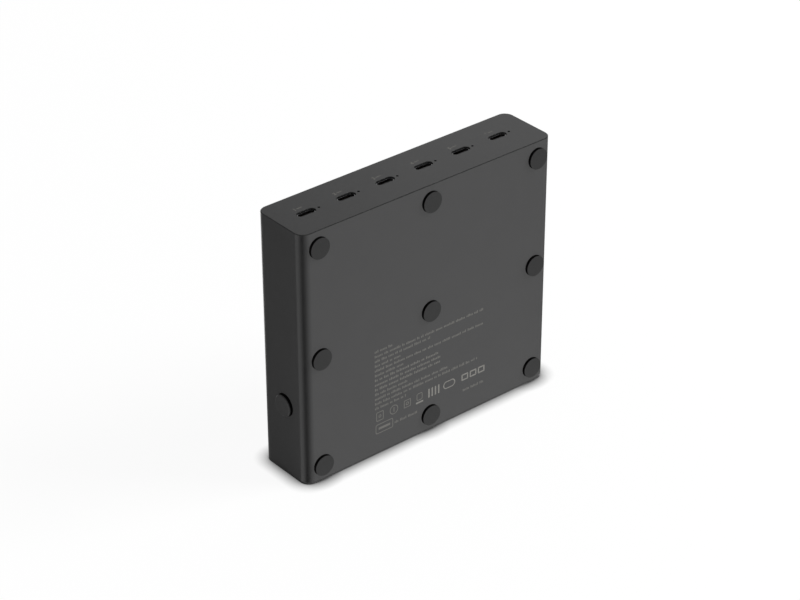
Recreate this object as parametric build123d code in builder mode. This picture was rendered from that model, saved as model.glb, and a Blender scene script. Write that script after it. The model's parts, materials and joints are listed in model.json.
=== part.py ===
from build123d import *
import os

# Desktop charger with six USB-C sockets, standing on its rear end. Millimetres.
# X runs along the row of sockets, -Y is the side with the feet, +Z points to the sockets.
# The origin is the centre of the rear face.

# Housing: a rounded tube closed by a port panel and a rear cap
body_width = 140.0
body_thickness = 30.6
body_height = 125.0
edge_radius = 4.6
housing_wall = 2.2
end_plate = 2.0
edge_break = 0.25
skirt_length = 4.4
skirt_wall = 1.2
skirt_gap = 0.15
skirt_corner_gap = 4.0
least_corner = 0.5
bead_width = 0.7
bead_length = 110.0
bead_distance = 2.8
bead_gap = 0.05

# Rubber feet, three rows of three
foot_diameter = 10.0
foot_proud = 1.4
foot_side_inset = 9.0
foot_end_inset = 8.05

# Row of sockets
port_count = 6
first_port_margin = 14.7
last_port_margin = 18.7
port_row_y = 0.0
shell_width = 8.94
shell_height = 3.16
shell_wall = 0.3
shell_length = 8.0
shell_recess = 0.6
shell_gap = 0.2
mouth_chamfer = 0.2
tongue_width = 6.69
tongue_thickness = 0.7
tongue_recess = 0.6
tongue_base = 1.9
tongue_base_gap = 0.05

# Indicator lights beside the sockets
light_offset = 6.7
light_diameter = 1.2
light_pin_width = 2.0
light_pin_gap = 0.1
light_bar_length = 1.8
light_bar_distance = 12.5
led_width = 2.2
led_height = 2.0
led_length = 1.6
led_gap = 0.3

# Power button, its guide and its switch
button_diameter = 10.4
button_y = -1.1
button_z = 35.8
button_proud = 1.6
button_gap = 0.25
button_edge = 0.3
button_travel = 1.2
button_flange = 0.9
button_flange_thickness = 1.0
button_flange_gap = 0.1
button_stem_width = 4.4
button_stem_length = 1.6
plunger_width = 3.2
plunger_length = 4.6
plunger_gap = 0.25
plunger_end_room = 0.6
switch_length = 14.0
switch_width = 13.0
switch_top = 4.2
switch_end_room = 0.3

# Mains inlet in the rear cap: keyed cavity, 10 A pattern
inlet_side_distance = 34.0
inlet_y = 0.0
cavity_width = 24.6
cavity_height = 16.9
cavity_key = 4.5
cavity_corner = 1.5
cavity_depth = 16.5
inlet_wall = 1.4
inlet_length = 19.0
inlet_recess = 0.2
inlet_gap = 0.15
inlet_ear = 3.0
inlet_ear_thickness = 2.0
pin_height = 4.0
pin_thickness = 2.0
pin_spacing = 14.0
pin_line_offset = 2.0
earth_pin_offset = 4.0
pin_tip_recess = 2.0
earth_tip_recess = 1.2
pin_tip_chamfer = 0.5
pin_gap = 0.05
pin_tail = 1.2

# Main board in the rails of the sleeve, and the sheet below it
board_thickness = 1.6
board_wall_distance = 2.2
board_side_gap = 0.5
board_end_gap = 6.45
rail_depth = 1.6
rail_thickness = 1.2
rail_gap = 0.1
notch_gap = 0.3
sheet_thickness = 0.4
sheet_side_gap = 1.4

# Port board above the main board
port_board_side_gap = 4.8
port_board_length = 29.5
port_board_end_gap = 1.5
spacer_flats = 5.0
spacer_distance = 17.5
board_screw_diameter = 2.0
board_screw_head = 4.0
board_screw_head_height = 1.4
board_screw_length = 5.0
board_screw_gap = 0.2
thread_gap = 0.05
header_width = 24.0
header_length = 2.5
header_distance = 32.4

# Heat spreader on the wall above the boards
spreader_thickness = 1.0
spreader_side_gap = 9.8
spreader_end_gap = 8.0
pad_thickness = 1.0

# Mains filter
fuse_width = 8.5
fuse_length = 4.0
fuse_height = 8.0
fuse_place = (26.0, 26.0)
varistor_diameter = 10.0
varistor_thickness = 4.4
varistor_lead = 2.0
varistor_place = (41.0, 26.0)
choke_length = 20.0
choke_width = 16.0
choke_leg = 4.0
choke_turns = 1.6
choke_gap = 0.1
choke_place = (34.0, 41.5)
filter_width = 9.0
filter_length = 18.0
filter_height = 15.0
filter_place = (-8.0, 25.0)

# Rectifier, boost inductor and bulk capacitors
bridge_width = 3.6
bridge_length = 20.0
bridge_height = 13.0
bridge_place = (5.0, 27.0)
core_yoke = 3.2
coil_gap = 0.2
bobbin_wall = 0.8
boost_width = 26.0
boost_depth = 19.0
boost_leg = 11.0
boost_window = 21.0
boost_place = (37.0, 27.5)
bulk_diameter = 16.0
bulk_length = 25.0
bulk_gap = 2.0
bulk_side_distance = 13.0
bulk_rear_distance = 17.0
bulk_stand_off = 0.1

# Power stage
transformer_width = 33.0
transformer_depth = 21.0
transformer_leg = 13.0
transformer_window = 27.0
transformer_place = (8.0, 56.0)
heatsink_width = 30.0
heatsink_base = 3.0
heatsink_height = 17.0
fin_count = 6
fin_thickness = 1.4
fin_depth = 6.0
heatsink_place = (37.0, 58.5)
transistor_width = 10.0
transistor_thickness = 4.5
transistor_height = 15.0
transistor_spacing = 14.0

# Outputs
output_diameter = 8.0
output_height = 12.0
output_count = 4
output_spacing = 14.0
output_distance = 40.0
inductor_size = 9.0
inductor_height = 4.0
inductor_distance = 24.0

# Sizes that follow from the driving dimensions
inner_width = body_width - 2 * housing_wall
inner_thickness = body_thickness - 2 * housing_wall
inner_corner = max(edge_radius - housing_wall, least_corner)
sleeve_length = body_height - 2 * end_plate
skirt_width = inner_width - 2 * skirt_gap
skirt_thickness = inner_thickness - 2 * skirt_gap
left_side = -body_width / 2
right_side = body_width / 2
bead_y = (skirt_thickness / 2, -skirt_thickness / 2)
bead_z = (end_plate + bead_distance, body_height - end_plate - bead_distance)
foot_x = body_width / 2 - foot_side_inset
foot_z = (body_height - foot_end_inset, body_height / 2, foot_end_inset)
board_bottom = -inner_thickness / 2 + board_wall_distance
board_top = board_bottom + board_thickness
board_rear = end_plate + skirt_length + board_end_gap
board_front = body_height - board_rear
board_length = board_front - board_rear
board_width = inner_width - 2 * board_side_gap
port_pitch = (body_width - first_port_margin - last_port_margin) / (port_count - 1)
port_x = [left_side + first_port_margin + port_pitch * i for i in range(port_count)]
light_x = [x + light_offset for x in port_x]
port_board_top = port_row_y - shell_height / 2
port_board_bottom = port_board_top - board_thickness
port_board_front = body_height - end_plate - port_board_end_gap
port_board_rear = port_board_front - port_board_length
spreader_face = inner_thickness / 2 - spreader_thickness
core_height = spreader_face - pad_thickness - board_top
inlet_x = left_side + inlet_side_distance
button_back = housing_wall + button_flange_gap + button_flange_thickness + button_stem_length
switch_stand_off = button_travel + switch_end_room
switch_face = button_back + switch_stand_off

# Planes: the feet side and the button side, and the top of the main board, where -amount is +Y
feet_face = Plane(origin=(0, -body_thickness / 2, 0), x_dir=(1, 0, 0), z_dir=(0, -1, 0))
left_face = Plane(origin=(left_side, 0, 0), x_dir=(0, -1, 0), z_dir=(-1, 0, 0))
board_face = Plane(origin=(0, board_top, 0), x_dir=(1, 0, 0), z_dir=(0, -1, 0))

# Places on those planes
button_place = (-button_y, button_z)
fuse_at = (left_side + fuse_place[0], fuse_place[1])
varistor_at = (left_side + varistor_place[0], varistor_place[1])
choke_at = (left_side + choke_place[0], choke_place[1])
boost_at = (right_side - boost_place[0], boost_place[1])
heatsink_at = (left_side + heatsink_place[0], heatsink_place[1])

pieces = {}


# Housing sleeve: the tube, its board rails, the grooves for the caps' beads and the button hole
with BuildPart() as housing_sleeve:
    with BuildSketch(Plane.XY.offset(end_plate)):
        RectangleRounded(body_width, body_thickness, edge_radius)
        RectangleRounded(inner_width, inner_thickness, inner_corner, mode=Mode.SUBTRACT)
    extrude(amount=sleeve_length)
    rail_offset = rail_gap + rail_thickness / 2
    with BuildSketch(Plane.XY.offset(board_rear)):
        with Locations((0, board_top + rail_offset), (0, board_bottom - rail_offset)):
            Rectangle(inner_width + housing_wall, rail_thickness)
            Rectangle(inner_width - 2 * rail_depth, rail_thickness, mode=Mode.SUBTRACT)
    extrude(amount=board_length)
    with BuildSketch(Plane.YZ.offset(-bead_length / 2 - bead_gap)):
        with Locations(*[(y, z) for y in bead_y for z in bead_z]):
            Rectangle(bead_width + 2 * bead_gap, bead_width + 2 * bead_gap, rotation=45)
    extrude(amount=bead_length + 2 * bead_gap, mode=Mode.SUBTRACT)
    with BuildSketch(left_face):
        with Locations(button_place):
            Circle(button_diameter / 2 + button_gap)
    extrude(amount=-housing_wall, mode=Mode.SUBTRACT)
    with BuildSketch(left_face.offset(-housing_wall)):
        with Locations(button_place):
            Circle(button_diameter / 2 + button_flange + button_gap)
    extrude(amount=-rail_depth, mode=Mode.SUBTRACT)
pieces["housing_sleeve"] = housing_sleeve


def end_cap(outer_face, inward):
    """The plate, four tabs and two beads, which both ends share; inward is +1 or -1 along Z."""
    with BuildPart() as cap:
        with BuildSketch(Plane.XY.offset(outer_face)):
            RectangleRounded(body_width, body_thickness, edge_radius)
        extrude(amount=inward * end_plate)
        rim = cap.edges().filter_by_position(Axis.Z, outer_face - edge_break, outer_face + edge_break)
        chamfer(rim, length=edge_break)
        with BuildSketch(Plane.XY.offset(outer_face + inward * end_plate)):
            with GridLocations(0, skirt_thickness - skirt_wall, 1, 2):
                Rectangle(skirt_width - 2 * skirt_corner_gap, skirt_wall)
            with GridLocations(skirt_width - skirt_wall, 0, 2, 1):
                Rectangle(skirt_wall, skirt_thickness - 2 * skirt_corner_gap)
        extrude(amount=inward * skirt_length)
        with BuildSketch(Plane.YZ.offset(-bead_length / 2)):
            with Locations(*[(y, outer_face + inward * (end_plate + bead_distance)) for y in bead_y]):
                Rectangle(bead_width, bead_width, rotation=45)
        extrude(amount=bead_length)
    return cap.part


# Port panel: a shared end cap with the chamfered mouths of the sockets and the light holes
with BuildPart() as port_panel:
    add(end_cap(body_height, -1))
    with BuildSketch(Plane.XY.offset(body_height)):
        with Locations(*[(x, port_row_y) for x in light_x]):
            Circle(light_diameter / 2)
    extrude(amount=-end_plate, mode=Mode.SUBTRACT)
    with BuildSketch(Plane.XY.offset(body_height)):
        with Locations(*[(x, port_row_y) for x in port_x]):
            SlotOverall(shell_width + 2 * shell_gap, shell_height + 2 * shell_gap)
    extrude(amount=-end_plate, mode=Mode.SUBTRACT)
    new_edges = port_panel.edges(Select.LAST)
    mouths = new_edges.filter_by_position(Axis.Z, body_height - mouth_chamfer, body_height)
    chamfer(mouths, length=mouth_chamfer)
pieces["port_panel"] = port_panel


def inlet_outline(margin):
    """The keyed outline of the mains inlet, grown outwards by a margin."""
    with BuildSketch(Plane.XY) as outline:
        Rectangle(cavity_width + 2 * margin, cavity_height + 2 * margin)
        upper = outline.vertices().group_by(Axis.Y)[-1]
        chamfer(upper, length=cavity_key + margin * (2 - 2**0.5))
        lower = outline.vertices().group_by(Axis.Y)[0]
        fillet(lower, radius=cavity_corner + margin)
    return outline.sketch


# Rear cap: a shared end cap with the opening for the mains inlet
with BuildPart() as rear_cap:
    add(end_cap(0, 1))
    with BuildSketch(Plane.XY):
        with Locations((inlet_x, inlet_y)):
            add(inlet_outline(inlet_wall + inlet_gap))
    extrude(amount=end_plate, mode=Mode.SUBTRACT)
pieces["rear_cap"] = rear_cap

# Mains inlet: keyed body with its cavity, two ears that seat inside the cap, slots for the pins
inlet_rear = inlet_recess + cavity_depth
pin_y = inlet_y - pin_line_offset
pin_places = {
    "line_pin": (inlet_x - pin_spacing / 2, pin_y, pin_tip_recess),
    "neutral_pin": (inlet_x + pin_spacing / 2, pin_y, pin_tip_recess),
    "earth_pin": (inlet_x, pin_y + earth_pin_offset, earth_tip_recess),
}
with BuildPart() as ac_inlet:
    with BuildSketch(Plane.XY.offset(inlet_recess)):
        with Locations((inlet_x, inlet_y)):
            add(inlet_outline(inlet_wall))
    extrude(amount=inlet_length - inlet_recess)
    with BuildSketch(Plane.XY.offset(end_plate)):
        with Locations((inlet_x, inlet_y)):
            Rectangle(cavity_width + 2 * (inlet_wall + inlet_ear), cavity_height - cavity_key)
    extrude(amount=inlet_ear_thickness)
    with BuildSketch(Plane.XY.offset(inlet_recess)):
        with Locations((inlet_x, inlet_y)):
            add(inlet_outline(0))
    extrude(amount=cavity_depth, mode=Mode.SUBTRACT)
    with BuildSketch(Plane.XY.offset(inlet_rear)):
        with Locations(*[(x, y) for x, y, tip in pin_places.values()]):
            Rectangle(pin_thickness + 2 * pin_gap, pin_height + 2 * pin_gap)
    extrude(amount=inlet_length - inlet_rear, mode=Mode.SUBTRACT)
pieces["ac_inlet"] = ac_inlet

# Line, neutral and earth pins: blades with a tail down to the main board
for name, (x, y, tip) in pin_places.items():
    with BuildPart() as pin:
        with BuildSketch(Plane.XY.offset(inlet_recess + tip)):
            with Locations((x, y)):
                Rectangle(pin_thickness, pin_height)
        extrude(amount=inlet_length + pin_tail - inlet_recess - tip)
        chamfer(pin.edges().group_by(Axis.Z)[0], length=pin_tip_chamfer)
        with BuildSketch(Plane.XY.offset(inlet_length)):
            with Locations((x, (board_top + y) / 2)):
                Rectangle(pin_thickness, y - board_top)
        extrude(amount=pin_tail)
    pieces[name] = pin

# Rubber feet on the housing
foot_rows = ("top", "middle", "bottom")
foot_columns = ("left", "centre", "right")
for row, z in zip(foot_rows, foot_z):
    for column, x in zip(foot_columns, (-foot_x, 0, foot_x)):
        with BuildPart() as foot:
            with BuildSketch(feet_face):
                with Locations((x, z)):
                    Circle(foot_diameter / 2)
            extrude(amount=foot_proud)
        pieces[f"foot_{row}_{column}"] = foot

# Power button: cap, retaining flange behind the wall, and square stem
with BuildPart() as power_button:
    with BuildSketch(left_face.offset(button_proud)):
        with Locations(button_place):
            Circle(button_diameter / 2)
    extrude(amount=-button_proud - housing_wall - button_flange_gap)
    chamfer(power_button.edges().group_by(Axis.X)[0], length=button_edge)
    with BuildSketch(left_face.offset(-housing_wall - button_flange_gap)):
        with Locations(button_place):
            Circle(button_diameter / 2 + button_flange)
    extrude(amount=-button_flange_thickness)
    with BuildSketch(left_face.offset(button_stem_length - button_back)):
        with Locations(button_place):
            Rectangle(button_stem_width, button_stem_width)
    extrude(amount=-button_stem_length)
pieces["power_button"] = power_button

# Plunger of the switch, which moves with the button
with BuildPart() as switch_plunger:
    with BuildSketch(left_face.offset(-button_back)):
        with Locations(button_place):
            Rectangle(plunger_width, plunger_width)
    extrude(amount=-plunger_length)
pieces["switch_plunger"] = switch_plunger

# Power switch on the main board, bored for the plunger and its travel
switch_height = button_y + switch_top - board_top
with BuildPart() as power_switch:
    with BuildSketch(board_face):
        with Locations((left_side + switch_face + switch_length / 2, button_z)):
            Rectangle(switch_length, switch_width)
    extrude(amount=-switch_height)
    with BuildSketch(left_face.offset(-switch_face)):
        with Locations(button_place):
            Rectangle(plunger_width + 2 * plunger_gap, plunger_width + 2 * plunger_gap)
    plunger_depth = plunger_length - switch_stand_off + button_travel + plunger_end_room
    extrude(amount=-plunger_depth, mode=Mode.SUBTRACT)
pieces["power_switch"] = power_switch

# Six sockets: a metal shell on the port board, with a moulded base and tongue inside it
shell_front = body_height - shell_recess
shell_rear = shell_front - shell_length
for number, x in enumerate(port_x, start=1):
    with BuildPart() as usb_shell:
        with BuildSketch(Plane.XY.offset(shell_rear)):
            with Locations((x, port_row_y)):
                SlotOverall(shell_width, shell_height)
                SlotOverall(shell_width - 2 * shell_wall, shell_height - 2 * shell_wall, mode=Mode.SUBTRACT)
        extrude(amount=shell_length)
    pieces[f"usb_shell_{number}"] = usb_shell
    with BuildPart() as usb_tongue:
        base_wall = shell_wall + tongue_base_gap
        with BuildSketch(Plane.XY.offset(shell_rear)):
            with Locations((x, port_row_y)):
                Rectangle(shell_width - shell_height, shell_height - 2 * base_wall)
        extrude(amount=tongue_base)
        with BuildSketch(Plane.XY.offset(shell_rear + tongue_base)):
            with Locations((x, port_row_y)):
                Rectangle(tongue_width, tongue_thickness)
        extrude(amount=shell_length - tongue_base - tongue_recess)
        chamfer(usb_tongue.edges().group_by(Axis.Z)[-1], length=tongue_thickness / 4)
    pieces[f"usb_tongue_{number}"] = usb_tongue

# Light guide: a bar across the port board with one square pin behind each hole of the panel
light_rear = body_height - light_bar_distance
light_tip = body_height - end_plate - light_pin_gap
light_bar_height = port_row_y + light_pin_width / 2 - port_board_top
with BuildPart() as light_guide:
    with BuildSketch(Plane.XY.offset(light_rear)):
        with Locations(((light_x[0] + light_x[-1]) / 2, port_board_top + light_bar_height / 2)):
            Rectangle(light_x[-1] - light_x[0] + 2 * light_pin_width, light_bar_height)
    extrude(amount=light_bar_length)
    with BuildSketch(Plane.XY.offset(light_rear)):
        with Locations(*[(x, port_row_y) for x in light_x]):
            Rectangle(light_pin_width, light_pin_width)
    extrude(amount=light_tip - light_rear)
pieces["light_guide"] = light_guide

# Status lights behind the light guide
with BuildPart() as status_leds:
    with BuildSketch(Plane.XY.offset(light_rear - led_gap - led_length)):
        with Locations(*[(x, port_board_top + led_height / 2) for x in light_x]):
            Rectangle(led_width, led_height)
    extrude(amount=led_length)
pieces["status_leds"] = status_leds

# Main board, notched round the mains inlet
notch_length = inlet_length + notch_gap - board_rear
with BuildPart() as main_board:
    with BuildSketch(board_face):
        with Locations((0, board_rear + board_length / 2)):
            Rectangle(board_width, board_length)
        with Locations((inlet_x, board_rear + notch_length / 2)):
            Rectangle(cavity_width + 2 * (inlet_wall + notch_gap), notch_length, mode=Mode.SUBTRACT)
    extrude(amount=board_thickness)
pieces["main_board"] = main_board

# Insulating sheet on the wall below the main board
with BuildPart() as insulating_sheet:
    with BuildSketch(feet_face.offset(-housing_wall)):
        with Locations((0, board_rear + board_length / 2)):
            Rectangle(inner_width - 2 * (inner_corner + sheet_side_gap), board_length)
    extrude(amount=-sheet_thickness)
pieces["insulating_sheet"] = insulating_sheet

# Port board on two hexagonal spacers and the header, with its screws
spacer_z = body_height - spacer_distance
spacer_places = [(port_x[0] + port_pitch / 2, spacer_z), (port_x[-1] - port_pitch / 2, spacer_z)]
board_screw_hole = board_screw_diameter / 2 + board_screw_gap
port_board_plane = board_face.offset(board_top - port_board_bottom)
with BuildPart() as port_board:
    with BuildSketch(port_board_plane):
        with Locations((0, port_board_rear + port_board_length / 2)):
            Rectangle(inner_width - 2 * port_board_side_gap, port_board_length)
        with Locations(*spacer_places):
            Circle(board_screw_hole, mode=Mode.SUBTRACT)
    extrude(amount=-board_thickness)
pieces["port_board"] = port_board

with BuildPart() as board_spacers:
    with BuildSketch(board_face):
        with Locations(*spacer_places):
            RegularPolygon(spacer_flats / 2, 6, major_radius=False)
            Circle(board_screw_diameter / 2 + thread_gap, mode=Mode.SUBTRACT)
    extrude(amount=board_top - port_board_bottom)
pieces["board_spacers"] = board_spacers

with BuildPart() as board_screws:
    with BuildSketch(board_face.offset(board_top - port_board_top)):
        with Locations(*spacer_places):
            Circle(board_screw_head / 2)
    extrude(amount=-board_screw_head_height)
    with BuildSketch(board_face.offset(board_top - port_board_top)):
        with Locations(*spacer_places):
            Circle(board_screw_diameter / 2)
    extrude(amount=board_screw_length)
pieces["board_screws"] = board_screws

# Header that joins the two boards
with BuildPart() as board_header:
    with BuildSketch(board_face):
        with Locations((0, body_height - header_distance + header_length / 2)):
            Rectangle(header_width, header_length)
    extrude(amount=board_top - port_board_bottom)
pieces["board_header"] = board_header

# Fuse, varistor and filter capacitor of the mains filter
with BuildPart() as fuse:
    with BuildSketch(board_face):
        with Locations(fuse_at):
            Rectangle(fuse_width, fuse_length)
    extrude(amount=-fuse_height)
pieces["fuse"] = fuse

with BuildPart() as varistor:
    with BuildSketch(Plane.XY.offset(varistor_at[1] - varistor_thickness / 2)):
        with Locations((varistor_at[0], board_top + varistor_lead + varistor_diameter / 2)):
            Circle(varistor_diameter / 2)
    extrude(amount=varistor_thickness)
    with BuildSketch(board_face):
        with Locations(varistor_at):
            with GridLocations(varistor_diameter / 2, 0, 2, 1):
                Rectangle(varistor_lead / 4, varistor_lead / 4)
    extrude(amount=-varistor_lead - varistor_diameter / 4)
pieces["varistor"] = varistor

with BuildPart() as filter_capacitor:
    with BuildSketch(board_face):
        with Locations(filter_place):
            Rectangle(filter_width, filter_length)
    extrude(amount=-filter_height)
pieces["filter_capacitor"] = filter_capacitor

# Mains choke: a closed ferrite frame lying flat, with a winding on each long leg
choke_middle = board_top + choke_gap + choke_turns + choke_leg / 2
choke_leg_offset = (choke_width - choke_leg) / 2
with BuildPart() as choke_core:
    with BuildSketch(board_face.offset(board_top - choke_middle - choke_leg / 2)):
        with Locations(choke_at):
            Rectangle(choke_length, choke_width)
            Rectangle(choke_length - 2 * choke_leg, choke_width - 2 * choke_leg, mode=Mode.SUBTRACT)
    extrude(amount=choke_leg)
pieces["choke_core"] = choke_core

with BuildPart() as choke_windings:
    coil_length = choke_length - 2 * (choke_leg + choke_gap)
    with BuildSketch(Plane.YZ.offset(choke_at[0] - coil_length / 2)):
        with Locations(*[(choke_middle, choke_at[1] + side * choke_leg_offset) for side in (-1, 1)]):
            Rectangle(choke_leg + 2 * choke_turns, choke_leg + 2 * choke_turns)
            Rectangle(choke_leg + 2 * choke_gap, choke_leg + 2 * choke_gap, mode=Mode.SUBTRACT)
    extrude(amount=coil_length)
pieces["choke_windings"] = choke_windings

# Bridge rectifier
with BuildPart() as bridge_rectifier:
    with BuildSketch(board_face):
        with Locations(bridge_place):
            Rectangle(bridge_width, bridge_length)
    extrude(amount=-bridge_height)
pieces["bridge_rectifier"] = bridge_rectifier


def wound_core(place, width, depth, leg, window):
    """A ferrite core with a square centre leg, the bobbin on that leg and the winding on the bobbin."""
    room = core_height - 2 * core_yoke
    with BuildPart() as core:
        with BuildSketch(board_face):
            with Locations(place):
                Rectangle(width, depth)
        extrude(amount=-core_height)
        with BuildSketch(board_face.offset(-core_yoke)):
            with Locations(place):
                Rectangle(window, window)
                Rectangle(leg, leg, mode=Mode.SUBTRACT)
        extrude(amount=-room, mode=Mode.SUBTRACT)
    hub = leg + 2 * coil_gap
    rim = window - 2 * coil_gap
    wound = hub + 2 * bobbin_wall
    with BuildPart() as bobbin:
        with BuildSketch(board_face.offset(-core_yoke - coil_gap)):
            with Locations(place):
                Rectangle(rim, rim)
                Rectangle(hub, hub, mode=Mode.SUBTRACT)
        extrude(amount=-room + 2 * coil_gap)
        with BuildSketch(board_face.offset(-core_yoke - coil_gap - bobbin_wall)):
            with Locations(place):
                Rectangle(rim, rim)
                Rectangle(wound, wound, mode=Mode.SUBTRACT)
        extrude(amount=-room + 2 * (coil_gap + bobbin_wall), mode=Mode.SUBTRACT)
    with BuildPart() as winding:
        with BuildSketch(board_face.offset(-core_yoke - 2 * coil_gap - bobbin_wall)):
            with Locations(place):
                Rectangle(rim - 2 * coil_gap, rim - 2 * coil_gap)
                Rectangle(wound + 2 * coil_gap, wound + 2 * coil_gap, mode=Mode.SUBTRACT)
        extrude(amount=-room + 2 * (2 * coil_gap + bobbin_wall))
    return core, bobbin, winding


boost = wound_core(boost_at, boost_width, boost_depth, boost_leg, boost_window)
pieces["boost_core"], pieces["boost_bobbin"], pieces["boost_winding"] = boost
transformer = wound_core(
    transformer_place, transformer_width, transformer_depth, transformer_leg, transformer_window
)
pieces["transformer_core"], pieces["transformer_bobbin"], pieces["transformer_winding"] = transformer

# Bulk capacitors lying along the right wall
bulk_x = right_side - bulk_side_distance
bulk_y = board_top + bulk_diameter / 2 + bulk_stand_off
with BuildPart() as bulk_capacitors:
    for index in range(2):
        bulk_z = bulk_rear_distance + index * (bulk_length + bulk_gap)
        with BuildSketch(Plane.XY.offset(bulk_z)):
            with Locations((bulk_x, bulk_y)):
                Circle(bulk_diameter / 2)
        extrude(amount=bulk_length)
pieces["bulk_capacitors"] = bulk_capacitors

# Heatsink with its fins, and the transistors on its flat side
with BuildPart() as heatsink:
    with BuildSketch(board_face):
        with Locations(heatsink_at):
            Rectangle(heatsink_width, heatsink_base)
            with Locations((0, (heatsink_base + fin_depth) / 2)):
                with GridLocations((heatsink_width - fin_thickness) / (fin_count - 1), 0, fin_count, 1):
                    Rectangle(fin_thickness, fin_depth)
    extrude(amount=-heatsink_height)
pieces["heatsink"] = heatsink

with BuildPart() as power_transistors:
    with BuildSketch(board_face):
        with Locations((heatsink_at[0], heatsink_at[1] - (heatsink_base + transistor_thickness) / 2)):
            with GridLocations(transistor_spacing, 0, 2, 1):
                Rectangle(transistor_width, transistor_thickness)
    extrude(amount=-transistor_height)
pieces["power_transistors"] = power_transistors

# Thermal pads on both cores, under the heat spreader
with BuildPart() as thermal_pads:
    with BuildSketch(board_face.offset(-core_height)):
        with Locations(boost_at):
            Rectangle(boost_width, boost_depth)
        with Locations(transformer_place):
            Rectangle(transformer_width, transformer_depth)
    extrude(amount=-pad_thickness)
pieces["thermal_pads"] = thermal_pads

# Heat spreader on the wall above the cores
with BuildPart() as heat_spreader:
    with BuildSketch(board_face.offset(board_top - spreader_face)):
        with Locations((0, board_rear + board_length / 2)):
            Rectangle(inner_width - 2 * spreader_side_gap, board_length - 2 * spreader_end_gap)
    extrude(amount=-spreader_thickness)
pieces["heat_spreader"] = heat_spreader

# Output capacitors behind the port board, and one inductor under each socket
with BuildPart() as output_capacitors:
    with BuildSketch(board_face):
        with Locations((0, body_height - output_distance)):
            with GridLocations(output_spacing, 0, output_count, 1):
                Circle(output_diameter / 2)
    extrude(amount=-output_height)
pieces["output_capacitors"] = output_capacitors

with BuildPart() as output_inductors:
    with BuildSketch(board_face):
        with Locations(*[(x, body_height - inductor_distance) for x in port_x]):
            Rectangle(inductor_size, inductor_size)
    extrude(amount=-inductor_height)
pieces["output_inductors"] = output_inductors

# Each piece is labelled and written as its own file
os.makedirs("parts", exist_ok=True)
for name, piece in pieces.items():
    piece.part.label = name
    export_step(piece.part, f"parts/{name}.step")
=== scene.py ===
"""A desktop charger with six USB-C sockets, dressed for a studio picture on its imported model."""
import json
import math
import random

import bmesh
import bpy
from mathutils import Matrix, Vector


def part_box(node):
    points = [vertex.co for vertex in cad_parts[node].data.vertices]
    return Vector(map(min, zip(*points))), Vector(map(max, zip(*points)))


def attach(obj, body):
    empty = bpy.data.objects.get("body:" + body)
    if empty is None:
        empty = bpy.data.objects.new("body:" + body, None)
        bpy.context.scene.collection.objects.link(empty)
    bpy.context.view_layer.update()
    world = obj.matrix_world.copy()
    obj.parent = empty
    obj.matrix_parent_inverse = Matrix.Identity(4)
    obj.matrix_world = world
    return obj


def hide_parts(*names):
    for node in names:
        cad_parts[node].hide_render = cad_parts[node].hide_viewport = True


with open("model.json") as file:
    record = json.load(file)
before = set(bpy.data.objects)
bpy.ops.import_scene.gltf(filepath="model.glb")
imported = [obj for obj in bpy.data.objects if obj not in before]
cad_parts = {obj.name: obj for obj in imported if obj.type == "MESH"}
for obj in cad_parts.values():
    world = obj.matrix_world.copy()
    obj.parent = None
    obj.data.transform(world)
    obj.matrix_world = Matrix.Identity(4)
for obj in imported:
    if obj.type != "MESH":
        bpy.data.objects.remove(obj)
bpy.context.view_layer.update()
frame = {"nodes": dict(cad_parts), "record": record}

bl_info = {
    "name": "Desktop charger",
    "version": (1, 0, 0),
    "blender": (4, 5, 0),
    "location": "View3D > Sidebar > Charger",
    "description": "Dresses the packed model of a desktop charger and sets up its studio",
    "category": "Object",
}

MM = 0.001
HOUSING = "housing"
BUTTON = "button"
SOCKETS = range(1, 7)
FOOT_ROWS = ("top", "middle", "bottom")
FOOT_COLUMNS = ("left", "centre", "right")
WHITE = (1.0, 1.0, 1.0, 1.0)

# Merging, shading and roundness of meshes, and how far a side's normal may lean along its axis
WELD = 0.001 * MM
FLAT = math.radians(0.5)
SHARP = math.radians(28)
ROUND_STEPS = 96
FOOT_RIM_STEPS = 5
BUTTON_RIM_STEPS = 10
CORNER_STEPS = 8
SIDEWAYS = 0.3


# Places that come from the frame

def middle(node):
    """The centre of a CAD piece's box."""
    low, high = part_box(node)
    return (low + high) / 2


def radius(node, axis=0):
    """Half the width of a CAD piece along an axis."""
    low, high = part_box(node)
    return (high[axis] - low[axis]) / 2


port_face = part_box("port_panel")[1].z
feet_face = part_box("housing_sleeve")[0].y
left_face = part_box("housing_sleeve")[0].x


# Shader maths

class Value:
    """A socket that takes part in arithmetic: each operator adds the Math node it stands for."""

    def __init__(self, finish, socket):
        self.finish = finish
        self.socket = socket

    def maths(self, operation, *values):
        inputs = dict(enumerate(values))
        return self.finish.node("ShaderNodeMath", {"operation": operation}, inputs)

    def __add__(self, other):
        return self.maths("ADD", self, other)

    def __sub__(self, other):
        return self.maths("SUBTRACT", self, other)

    def __rsub__(self, other):
        return self.maths("SUBTRACT", other, self)

    def __mul__(self, other):
        return self.maths("MULTIPLY", self, other)

    __radd__ = __add__
    __rmul__ = __mul__

    def above(self, level):
        return self.maths("GREATER_THAN", self, level)

    def spread(self, middle, width):
        """Noise that runs from 0 to 1, turned into values around a middle."""
        return (self - 0.5) * width + middle


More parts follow.
